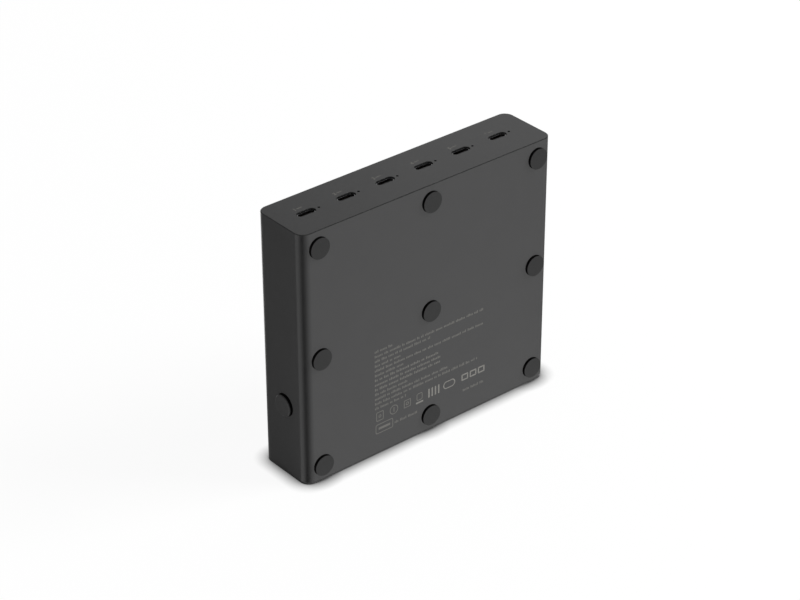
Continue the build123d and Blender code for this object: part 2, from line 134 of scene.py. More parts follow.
class Finish:
    """The node tree of one material or world, with one method that adds any node."""

    def __init__(self, owner):
        owner.use_nodes = True
        self.owner = owner
        self.tree = owner.node_tree
        self.tree.nodes.clear()

    def node(self, kind, settings=None, inputs=None, output=0):
        """Adds a node: its settings first, then the values or links of its sockets."""
        made = self.tree.nodes.new(kind)
        for name, setting in (settings or {}).items():
            setattr(made, name, setting)
        for key, value in (inputs or {}).items():
            if isinstance(value, Value):
                self.tree.links.new(value.socket, made.inputs[key])
            else:
                made.inputs[key].default_value = value
        return Value(self, made.outputs[output]) if made.outputs else None

    def place(self):
        return self.node("ShaderNodeTexCoord", output="Object")

    def noise(self, grain, detail=2.0):
        """Noise whose grains have about the given size in metres."""
        inputs = {"Vector": self.place(), "Scale": 1 / grain, "Detail": detail}
        return self.node("ShaderNodeTexNoise", None, inputs, "Fac")

    def shades(self, factor, colour, dark, light):
        """A colour between a darker and a lighter shade of itself."""
        inputs = {0: factor, 6: shade_of(colour, dark), 7: shade_of(colour, light)}
        return self.node("ShaderNodeMix", {"data_type": "RGBA"}, inputs, 2)

    def bump(self, height, depth):
        """Normals of a relief whose height runs over the given depth in metres."""
        inputs = {"Height": height, "Distance": depth, "Strength": 1.0}
        return self.node("ShaderNodeBump", None, inputs)

    def glow(self, strength):
        """Plain white light."""
        return self.node("ShaderNodeEmission", None, {"Color": WHITE, "Strength": strength})

    def surface(self, **inputs):
        """The main shader and the output. Spaces in its socket names are written as underscores."""
        named = {key.replace("_", " "): value for key, value in inputs.items()}
        shader = self.node("ShaderNodeBsdfPrincipled", None, named)
        self.node("ShaderNodeOutputMaterial", None, {"Surface": shader})


def shade_of(colour, factor):
    """A colour made lighter or darker, with full alpha."""
    return tuple(channel * factor for channel in colour[:3]) + (1.0,)


def moulded(finish, colour, roughness, grain, depth, **others):
    """Moulded plastic: a faint mottle, slightly uneven gloss and a fine spark-eroded grain."""
    mottle = finish.noise(14 * MM)
    gloss = finish.noise(2.5 * MM)
    texture = finish.noise(grain, detail=3.0)
    finish.surface(
        Base_Color=finish.shades(mottle, colour, dark=0.86, light=1.14),
        Roughness=gloss.spread(roughness, width=0.08),
        Normal=finish.bump(texture, depth),
        **others,
    )


def metal(finish, colour, roughness, grain, depth):
    """Plated or drawn metal with fine irregular gloss."""
    gloss = finish.noise(0.8 * MM)
    finish.surface(
        Base_Color=finish.shades(gloss, colour, dark=0.92, light=1.05),
        Metallic=1.0,
        Roughness=gloss.spread(roughness, width=0.16),
        Normal=finish.bump(finish.noise(grain), depth),
    )


def housing_plastic(finish, colour):
    look = bpy.context.scene.charger_housing
    moulded(finish, look.colour, look.roughness, look.grain, look.grain_depth, IOR=look.ior)


def button_plastic(finish, colour):
    look = bpy.context.scene.charger_button
    moulded(finish, look.colour, look.roughness, grain=0.3 * MM, depth=0.003 * MM)


def rubber(finish, colour, roughness, gloss):
    moulded(
        finish, colour, roughness, grain=0.2 * MM, depth=0.006 * MM, Specular_IOR_Level=gloss
    )


def foot_rubber(finish, colour):
    look = bpy.context.scene.charger_feet
    rubber(finish, look.colour, look.roughness, look.gloss)


def side_rubber(finish, colour):
    """The feet's and the button's sides: a near-black rubber, darker than their caps, that paints
    shade on the walls and on the gap around the button.
    """
    rubber(finish, (0.0022, 0.0022, 0.0022), roughness=0.6, gloss=0.06)


def socket_steel(finish, colour):
    steel = bpy.context.scene.charger_sockets.steel
    metal(finish, steel, roughness=0.3, grain=0.3 * MM, depth=0.002 * MM)


def socket_plastic(finish, colour):
    moulded(finish, colour, roughness=0.45, grain=0.2 * MM, depth=0.003 * MM)


def contact_gold(finish, colour):
    gold = bpy.context.scene.charger_sockets.gold
    metal(finish, gold, roughness=0.3, grain=0.2 * MM, depth=0.001 * MM)


def inlet_plastic(finish, colour):
    moulded(finish, colour, roughness=0.32, grain=0.5 * MM, depth=0.004 * MM)


def ink(finish, colour):
    """Pad-printed ink: matt, a little uneven in cover."""
    cover = finish.noise(0.7 * MM, detail=4.0)
    finish.surface(
        Base_Color=finish.shades(cover, colour, dark=0.82, light=1.18),
        Roughness=cover.spread(0.6, width=0.2),
        Normal=finish.bump(cover, 0.002 * MM),
    )


def print_ink(finish, colour):
    ink(finish, bpy.context.scene.charger_print.colour)


def bold_ink(finish, colour):
    """The thicker and so paler ink of the bold marks."""
    look = bpy.context.scene.charger_print
    ink(finish, shade_of(look.colour, look.bold))


def bare_metal(finish, colour):
    metal(finish, colour, roughness=0.36, grain=0.6 * MM, depth=0.003 * MM)


def wound_wire(finish, colour):
    """Enamelled wire: close turns in a fine wave along the height."""
    settings = {"wave_type": "BANDS", "bands_direction": "Y"}
    inputs = {"Vector": finish.place(), "Scale": 320.0}
    wave = finish.node("ShaderNodeTexWave", settings, inputs)
    finish.surface(
        Base_Color=finish.shades(wave, colour, dark=0.55, light=1.1),
        Metallic=0.8,
        Roughness=0.3 + wave * 0.1,
        Normal=finish.bump(wave, 0.1 * MM),
    )


def circuit_board(finish, colour):
    """Solder mask with the faint relief of tracks under it."""
    settings = {"feature": "F1", "distance": "CHEBYCHEV"}
    inputs = {"Vector": finish.place(), "Scale": 260.0}
    tracks = finish.node("ShaderNodeTexVoronoi", settings, inputs)
    lines = tracks.above(0.55)
    finish.surface(
        Base_Color=finish.shades(lines, colour, dark=0.8, light=1.4),
        Roughness=0.35 + lines * 0.1,
        Normal=finish.bump(lines, 0.03 * MM),
    )


def plain_moulding(finish, colour):
    moulded(finish, colour, roughness=0.4, grain=0.6 * MM, depth=0.01 * MM)


# What each material slot of the record is made of
FINISHES = {
    "housing_plastic": housing_plastic,
    "button_plastic": button_plastic,
    "foot_rubber": foot_rubber,
    "socket_steel": socket_steel,
    "socket_plastic": socket_plastic,
    "inlet_plastic": inlet_plastic,
    "plated_brass": bare_metal,
    "screw_steel": bare_metal,
    "spacer_brass": bare_metal,
    "aluminium": bare_metal,
    "circuit_board": circuit_board,
    "copper_winding": wound_wire,
}


def finish_of(slot, maker=None):
    """The material of a record's slot, or of its own maker, made when it is first asked for."""
    name = f"{maker.__name__ if maker else slot}_finish"
    if name not in bpy.data.materials:
        colours = {row["slot"]: row["base_color"] for row in frame["record"]["materials"]}
        material = bpy.data.materials.new(name)
        make = maker or FINISHES.get(slot, plain_moulding)
        make(Finish(material), colours[slot])
    return bpy.data.materials[name]


# Meshes

def shade_by_angle(mesh_data):
    """Smooth faces, with edges left sharp where the surface really turns."""
    for face in mesh_data.faces:
        face.smooth = True
    for edge in mesh_data.edges:
        edge.smooth = edge.calc_face_angle(math.pi) < SHARP


def finish_piece(mesh_data, name, body, slot, replaced=(), makers=(None,), in_gloss=True):
    """Makes a mesh in work a piece, which rides on its body and stands for the CAD pieces named."""
    shade_by_angle(mesh_data)
    mesh = bpy.data.meshes.new(name)
    mesh_data.to_mesh(mesh)
    mesh_data.free()
    for maker in makers:
        mesh.materials.append(finish_of(slot, maker))
    piece = bpy.data.objects.new(name, mesh)
    bpy.context.scene.collection.objects.link(piece)
    weighted = piece.modifiers.new("weighted", "WEIGHTED_NORMAL")
    weighted.keep_sharp = True
    piece.visible_glossy = in_gloss
    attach(piece, body)
    if replaced:
        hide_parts(*replaced)


def slot_of(node):
    rows = frame["record"]["subparts"]
    return next(row["material_slot"] for row in rows if row["node"] == node)


def dress(node):
    """A merged copy of a CAD piece, with its flat faces whole and its round ones smooth."""
    mesh_data = bmesh.new()
    mesh_data.from_mesh(frame["nodes"][node].data)
    bmesh.ops.remove_doubles(mesh_data, verts=mesh_data.verts, dist=WELD)
    bmesh.ops.dissolve_limit(
        mesh_data, angle_limit=FLAT, verts=mesh_data.verts, edges=mesh_data.edges,
        delimit={"NORMAL"},
    )
    finish_piece(mesh_data, f"{node}_dressed", HOUSING, slot_of(node), [node])


def turned(profile, axis, centre):
    """A profile of (radius, distance) points, turned about an axis through the centre."""
    mesh_data = bmesh.new()
    along = Vector(axis)
    across = along.orthogonal().normalized()
    points = [mesh_data.verts.new(centre + across * out + along * far) for out, far in profile]
    edges = [mesh_data.edges.new(pair) for pair in zip(points, points[1:])]
    bmesh.ops.spin(
        mesh_data, geom=points + edges, cent=centre, axis=along, angle=2 * math.pi,
        steps=ROUND_STEPS, use_merge=True,
    )
    bmesh.ops.remove_doubles(mesh_data, verts=mesh_data.verts, dist=WELD)
    bmesh.ops.recalc_face_normals(mesh_data, faces=mesh_data.faces)
    return mesh_data


def darken_sides(mesh_data, axis):
    """Gives the second material, which paints shade, to the faces that look across an axis, not
    along it.
    """
    mesh_data.normal_update()
    for face in mesh_data.faces:
        face.material_index = int(abs(face.normal.dot(axis)) < SIDEWAYS)


def turns_between(start, end, steps):
    """Even steps from one angle to another, both included."""
    return [start + (end - start) * step / steps for step in range(steps + 1)]


def arc(centre, size, start, end, steps):
    """Points of a circular arc in a profile, from one angle to another in degrees."""
    points = []
    for turn in turns_between(start, end, steps):
        angle = math.radians(turn)
        points.append((centre[0] + size * math.cos(angle), centre[1] + size * math.sin(angle)))
    return points


def add_block(mesh_data, low, high):
    """A closed rectangular block between two corners, added to a mesh in work."""
    size = Vector(high) - Vector(low)
    centre = (Vector(high) + Vector(low)) / 2
    place = Matrix.Translation(centre) @ Matrix.Diagonal((*size, 1.0))
    bmesh.ops.create_cube(mesh_data, size=1.0, matrix=place)


def thicken(mesh_data, faces):
    """Gives flat print its thickness, so that it is a closed solid."""
    thickness = bpy.context.scene.charger_print.thickness
    mesh_data.normal_update()
    bmesh.ops.solidify(mesh_data, geom=faces, thickness=thickness)


# Settings

class HousingSettings(bpy.types.PropertyGroup):
    """The moulded housing."""
    colour: bpy.props.FloatVectorProperty(
        name="Colour", description="Colour of the plastic",
        subtype="COLOR", size=3, default=(0.014, 0.014, 0.0143),
    )
    roughness: bpy.props.FloatProperty(
        name="Roughness", description="Roughness of the plastic", default=0.31
    )
    ior: bpy.props.FloatProperty(name="IOR", description="Refraction of the plastic", default=1.53)
    grain: bpy.props.FloatProperty(
        name="Grain", description="Size of the surface's grains", default=0.28 * MM, unit="LENGTH"
    )
    grain_depth: bpy.props.FloatProperty(
        name="Grain depth", description="Depth of the grain", default=0.004 * MM, unit="LENGTH"
    )


class FeetSettings(bpy.types.PropertyGroup):
    """The nine rubber feet."""
    colour: bpy.props.FloatVectorProperty(
        name="Colour", description="Colour of the rubber",
        subtype="COLOR", size=3, default=(0.004, 0.004, 0.004),
    )
    roughness: bpy.props.FloatProperty(
        name="Roughness", description="Roughness of the rubber", default=0.45
    )
    gloss: bpy.props.FloatProperty(
        name="Gloss", description="Level of the rubber's reflection", default=0.35
    )
    rim: bpy.props.FloatProperty(
        name="Rim", description="Radius of the rounded rim", default=0.08 * MM, unit="LENGTH"
    )


class ButtonSettings(bpy.types.PropertyGroup):
    """The push button."""
    colour: bpy.props.FloatVectorProperty(
        name="Colour", description="Colour of the button",
        subtype="COLOR", size=3, default=(0.018, 0.018, 0.0182),
    )
    roughness: bpy.props.FloatProperty(
        name="Roughness", description="Roughness of the button", default=0.38
    )
    rim: bpy.props.FloatProperty(
        name="Rim", description="Radius of the cap's rounded rim", default=0.6 * MM, unit="LENGTH"
    )
    flange: bpy.props.FloatProperty(
        name="Flange", description="Width of the flange behind the wall",
        default=0.9 * MM, unit="LENGTH",
    )


class SocketSettings(bpy.types.PropertyGroup):
    """The six sockets."""
    steel: bpy.props.FloatVectorProperty(
        name="Steel", description="Colour of the plated shells",
        subtype="COLOR", size=3, default=(0.42, 0.42, 0.43),
    )
    gold: bpy.props.FloatVectorProperty(
        name="Gold", description="Colour of the contacts",
        subtype="COLOR", size=3, default=(0.6, 0.44, 0.2),
    )
    contacts: bpy.props.IntProperty(
        name="Contacts", description="Contacts on each side of a tongue", default=12
    )
    contact_pitch: bpy.props.FloatProperty(
        name="Pitch", description="Distance between contacts", default=0.5 * MM, unit="LENGTH"
    )
    contact_width: bpy.props.FloatProperty(
        name="Width", description="Width of a contact", default=0.28 * MM, unit="LENGTH"
    )
    contact_length: bpy.props.FloatProperty(
        name="Length", description="Length of a contact", default=3.6 * MM, unit="LENGTH"
    )


class PrintSettings(bpy.types.PropertyGroup):
    """The generic print: bars and plain shapes on the feet side, numerals beside the sockets."""
    colour: bpy.props.FloatVectorProperty(
        name="Colour", description="Colour of the ink",
        subtype="COLOR", size=3, default=(0.108, 0.105, 0.096),
    )
    bold: bpy.props.FloatProperty(
        name="Bold", description="Lightness of the bold marks over the other ink", default=1.6
    )
    thickness: bpy.props.FloatProperty(
        name="Thickness", description="Thickness of the ink", default=0.015 * MM, unit="LENGTH"
    )
    row_pitch: bpy.props.FloatProperty(
        name="Row pitch", description="Distance between rows of bars",
        default=2.45 * MM, unit="LENGTH",
    )
    bar_height: bpy.props.FloatProperty(
        name="Bar height", description="Height of the small bars", default=1.3 * MM, unit="LENGTH"
    )
    numeral: bpy.props.FloatProperty(
        name="Numeral", description="Height of the numerals", default=2.7 * MM, unit="LENGTH"
    )


class StageSettings(bpy.types.PropertyGroup):
    """Floor, world, lamps, cards and camera."""
    fill: bpy.props.FloatProperty(
        name="Fill", description="World light on matt surfaces", default=0.38
    )
    backdrop: bpy.props.FloatProperty(
        name="Backdrop", description="World as gloss shows it", default=0.25
    )
    paper: bpy.props.FloatProperty(
        name="Paper", description="Shade of the floor's paper", default=0.88
    )
    floor_cover: bpy.props.FloatProperty(
        name="Floor cover", description="Share of plain white in the floor that the camera sees",
        default=0.93,
    )
    # The shadow around the object's foot is painted shadow: ambient occlusion darkens the floor's
    # white.
    contact: bpy.props.FloatProperty(
        name="Contact", description="Reach of the shadow around the foot of the object",
        default=7.2 * MM, unit="LENGTH",
    )
    contact_depth: bpy.props.FloatProperty(
        name="Contact depth", description="Strength of that shadow, from 0 to 2", default=1.6
    )
    key: bpy.props.FloatProperty(
        name="Key", description="Power of the key lamp", default=150.0, unit="POWER"
    )
    rim: bpy.props.FloatProperty(
        name="Rim", description="Power of the rim lamp", default=1.2, unit="POWER"
    )
    flag: bpy.props.FloatProperty(
        name="Flag", description="Level of the floor card beside the left face", default=0.26
    )
    strip: bpy.props.FloatProperty(
        name="Strip", description="Level of the light strip in the left edge", default=0.9
    )
    shade: bpy.props.FloatProperty(
        name="Shade", description="Level of the darkest floor card in front", default=0.14
    )
    bounce: bpy.props.FloatProperty(
        name="Bounce", description="Level of the floor card before the feet side", default=1.1
    )
    glow: bpy.props.FloatProperty(
        name="Glow", description="Level of the card that the port panel shows", default=0.7
    )
    lens: bpy.props.FloatProperty(
        name="Lens", description="Focal length in millimetres", default=113.45, unit="CAMERA"
    )


# Operators

class CHARGER_OT_housing(bpy.types.Operator):
    """Dress the sleeve, the port panel and the rear cap"""
    bl_idname = "charger.housing"
    bl_label = "Housing"

    def execute(self, context):
        for node in ("housing_sleeve", "port_panel", "rear_cap"):
            dress(node)
        return {"FINISHED"}


class CHARGER_OT_feet(bpy.types.Operator):
    """Make the nine rubber feet with their fine rounded rims"""
    bl_idname = "charger.feet"
    bl_label = "Feet"

    def execute(self, context):
        rim = context.scene.charger_feet.rim
        for row in FOOT_ROWS:
            for column in FOOT_COLUMNS:
                node = f"foot_{row}_{column}"
                low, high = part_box(node)
                centre = Vector((middle(node).x, high.y, middle(node).z))
                out = radius(node)
                tall = high.y - low.y
                corner = arc((out - rim, tall - rim), rim, 0, 90, FOOT_RIM_STEPS)
                profile = [(0, 0), (out, 0), *corner, (0, tall)]
                mesh_data = turned(profile, (0, -1, 0), centre)
                # The walls get the painted shade of the side material, darker than the cap.
                darken_sides(mesh_data, Vector((0, 1, 0)))
                finish_piece(
                    mesh_data, f"rubber_{node}", HOUSING, "foot_rubber", [node],
                    makers=(foot_rubber, side_rubber), in_gloss=False,
                )
        return {"FINISHED"}


class CHARGER_OT_button(bpy.types.Operator):
    """Make the push button with its rounded rim, its flange and its stem"""
    bl_idname = "charger.button"
    bl_label = "Button"

    # Behind the left face: the wall, the flange that holds the cap and the square stem
    wall = 2.3 * MM
    flange_depth = 1.0 * MM
    stem = 4.4 * MM

    def execute(self, context):
        look = context.scene.charger_button
        low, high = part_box("power_button")
        centre = Vector((left_face, middle("power_button").y, middle("power_button").z))
        wide = radius("power_button", 2)
        out = wide - look.flange
        proud = left_face - low.x
        inner = self.wall + self.flange_depth
        half = self.stem / 2
        corner = arc((out - look.rim, proud - look.rim), look.rim, 0, 90, BUTTON_RIM_STEPS)
        flange = [(0, -inner), (wide, -inner), (wide, -self.wall), (out, -self.wall)]
        mesh_data = turned([*flange, *corner, (0, proud)], (-1, 0, 0), centre)
        # The cap's side gets the painted shade of the side material: the dark crescent round the
        # cap.
        darken_sides(mesh_data, Vector((1, 0, 0)))
        add_block(
            mesh_data,
            (left_face + inner, centre.y - half, centre.z - half),
            (high.x, centre.y + half, centre.z + half),
        )
        finish_piece(
            mesh_data, "button_cap", BUTTON, "button_plastic", ["power_button"],
            makers=(button_plastic, side_rubber), in_gloss=False,
        )
        return {"FINISHED"}


class CHARGER_OT_sockets(bpy.types.Operator):
    """Dress the six metal shells and their tongues, and lay the gold contacts on the tongues"""
    bl_idname = "charger.sockets"
    bl_label = "Sockets"

    # Where the contacts lie: from the tongue's end, from its middle and out of its surface
    tip = 0.5 * MM
    blade = 0.35 * MM
    proud = 0.03 * MM

    def execute(self, context):
        look = context.scene.charger_sockets
        for number in SOCKETS:
            tongue = f"usb_tongue_{number}"
            dress(f"usb_shell_{number}")
            dress(tongue)
            finish_piece(
                self.contacts(tongue, look), f"contacts_{number}", HOUSING, "plated_brass",
                makers=[contact_gold],
            )
        return {"FINISHED"}

    def contacts(self, tongue, look):
        """The flat contacts on both sides of a tongue's blade."""
        mesh_data = bmesh.new()
        centre = middle(tongue)
        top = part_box(tongue)[1].z - self.tip
        half = look.contact_width / 2
        for index in range(look.contacts):
            x = centre.x + (index - (look.contacts - 1) / 2) * look.contact_pitch
            for side in (-1, 1):
                y = centre.y + side * self.blade
                low = (x - half, y - self.proud, top - look.contact_length)
                high = (x + half, y + self.proud, top)
                add_block(mesh_data, low, high)
        return mesh_data


class CHARGER_OT_inlet(bpy.types.Operator):
    """Dress the mains inlet and its three pins"""
    bl_idname = "charger.inlet"
    bl_label = "Mains inlet"

    def execute(self, context):
        for node in ("ac_inlet", "line_pin", "neutral_pin", "earth_pin"):
            dress(node)
        return {"FINISHED"}


class CHARGER_OT_inner(bpy.types.Operator):
    """Give every piece that isn't replaced the finish of its slot"""
    bl_idname = "charger.inner"
    bl_label = "Inner pieces"

    def execute(self, context):
        for row in frame["record"]["subparts"]:
            mesh = frame["nodes"][row["node"]].data
            mesh.materials.clear()
            mesh.materials.append(finish_of(row["material_slot"]))
        return {"FINISHED"}


class CHARGER_OT_print(bpy.types.Operator):
    """Print plain bars and shapes on the feet side, and a numeral beside each socket"""
    bl_idname = "charger.print"
    bl_label = "Print"

    # The rows of small bars: where they start, where each ends in mm, and what they are made of
    left = -31.6 * MM
    top = 53.6 * MM
    row_ends = (-21.8, 31.5, 0.6, -17.0, 31.5, -15.0, 5.9, 5.9, 5.9, -12.0, 10.6, 27.9, -14.0)
    bold_rows = (6, 7, 8)
    last_row = 12.6 * MM
    last_spans = ((-20.5, -6.4), (19.5, 32.3))
    stroke = 0.48 * MM
    bold_stroke = 0.62 * MM
    stroke_gap = 0.3 * MM
    word_gap = 0.75 * MM
    word_bars = (2, 8)
    bar_shares = (0.72, 0.72, 1.0)
    seed = 4

    # The marks, in mm: place, size, share of rounding and, if only its line is drawn, its width
    fine_marks = (
        (-28.9, 19.5, 4.2, 4.8, 0.3, 0.4),
        (-28.9, 19.5, 1.6, 1.6, 0.98, 0.4),
        (-20.9, 19.5, 4.8, 4.8, 0.98, 0.4),
        (-20.9, 19.5, 0.5, 2.4, 0, 0),
        (-13.2, 19.5, 4.0, 4.0, 0.1, 0.4),
        (-13.2, 19.5, 1.8, 1.8, 0.98, 0.4),
        (-6.1, 20.1, 3.4, 3.8, 0.5, 0.4),
        (-26.4, 13.0, 10.0, 5.0, 0.4, 0.4),
        (-26.4, 13.0, 6.6, 1.2, 0, 0),
    )
    bold_marks = (
        (-6.1, 17.1, 4.2, 0.8, 0, 0),
        (-0.6, 19.5, 0.8, 4.6, 0, 0),
        (1.3, 19.5, 0.8, 4.6, 0, 0),
        (3.2, 19.5, 0.8, 4.6, 0, 0),
        (5.1, 19.5, 0.8, 4.6, 0, 0),
        (11.3, 19.5, 7.0, 4.0, 0.98, 0.5),
        (20.6, 19.5, 4.0, 3.4, 0.3, 0.7),
        (25.5, 19.5, 4.0, 3.4, 0.3, 0.7),
        (30.4, 19.5, 4.0, 3.4, 0.3, 0.7),
    )

    # The numerals: their place from the socket's middle, and the bar after each
    numeral_start = -3.2 * MM
    numeral_foot = 3.8 * MM
    numeral_weight = 0.09 * MM
    bar_level = 4.8 * MM
    bar_span = (1.8 * MM, 4.6 * MM)
    bar_half = 0.25 * MM

    def execute(self, context):
        look = context.scene.charger_print
        for name, mesh_data, maker in (
            ("print_rows", self.rows(look), print_ink),
            ("print_fine_marks", self.marks(self.fine_marks, look), print_ink),
            ("print_bold_marks", self.marks(self.bold_marks, look), bold_ink),
            *((f"numeral_{number}", self.numeral(number, look), print_ink) for number in SOCKETS),
        ):
            finish_piece(mesh_data, name, HOUSING, "housing_plastic", makers=[maker])
        return {"FINISHED"}

    def rows(self, look):
        """The rows of bars, of which some are bolder, and the two groups in the last row."""
        draw = random.Random(self.seed)
        mesh_data = bmesh.new()
        for row, end in enumerate(self.row_ends):
            stroke = self.bold_stroke if row in self.bold_rows else self.stroke
            z = self.top - row * look.row_pitch
            self.bars(mesh_data, draw, self.left, end * MM, z, stroke, look)
        for start, end in self.last_spans:
            self.bars(mesh_data, draw, start * MM, end * MM, self.last_row, self.stroke, look)
        return mesh_data

    def bars(self, mesh_data, draw, x, end, z, stroke, look):
        """Small bars from x to end, in groups as long as words, each sunk by its own thickness."""
        ink_depth = look.thickness
        foot = z - look.bar_height / 2
        while x < end:
            for _ in range(draw.randint(*self.word_bars)):
                tall = look.bar_height * draw.choice(self.bar_shares)
                if x + stroke > end:
                    break
                low = (x, feet_face - ink_depth, foot)
                add_block(mesh_data, low, (x + stroke, feet_face + ink_depth, foot + tall))
                x += stroke + self.stroke_gap
            x += self.word_gap

    def marks(self, table, look):
        """Boxes of ink with rounded corners on the feet side, filled or only as a line."""
        mesh_data = bmesh.new()
        for x, z, wide, tall, rounding, line in table:
            before = set(mesh_data.faces)
            place = Matrix.Translation((x * MM, feet_face - look.thickness, z * MM))
            turn = Matrix.Rotation(math.radians(90), 4, "X")
            size = Matrix.Diagonal((wide * MM, tall * MM, 1.0, 1.0))
            corners = bmesh.ops.create_grid(
                mesh_data, x_segments=1, y_segments=1, size=0.5, matrix=place @ turn @ size
            )["verts"]
            if rounding:
                bmesh.ops.bevel(
                    mesh_data, geom=corners, offset=rounding * min(wide, tall) * MM / 2,
                    affect="VERTICES", segments=CORNER_STEPS, profile=0.5, material=-1,
                )
            drawn = [face for face in mesh_data.faces if face not in before]
            if line:
                whole = drawn
                drawn = bmesh.ops.inset_region(
                    mesh_data, faces=whole, thickness=line * MM, use_boundary=True,
                    use_even_offset=True,
                )["faces"]
                bmesh.ops.delete(mesh_data, geom=whole, context="FACES_ONLY")
            thicken(mesh_data, drawn)
        return mesh_data

    def numeral(self, number, look):
        """A numeral behind a socket, with a short bar after it."""
        text = bpy.data.curves.new(f"numeral_text_{number}", "FONT")
        text.body = str(number)
        text.size = look.numeral
        text.offset = self.numeral_weight
        holder = bpy.data.objects.new(f"numeral_text_{number}", text)
        bpy.context.scene.collection.objects.link(holder)
        mesh = bpy.data.meshes.new_from_object(holder)
        mesh_data = bmesh.new()
        mesh_data.from_mesh(mesh)
        bpy.data.objects.remove(holder)
        bpy.data.curves.remove(text)
        bpy.data.meshes.remove(mesh)
        thicken(mesh_data, mesh_data.faces)
        x = middle(f"usb_shell_{number}").x + self.numeral_start
        place = Matrix.Translation((x, self.numeral_foot, port_face + look.thickness))
        bmesh.ops.transform(mesh_data, matrix=place, verts=mesh_data.verts)
        start, end = self.bar_span
        low = (x + start, self.bar_level - self.bar_half, port_face - look.thickness)
        high = (x + end, self.bar_level + self.bar_half, port_face + look.thickness)
        add_block(mesh_data, low, high)
        return mesh_data


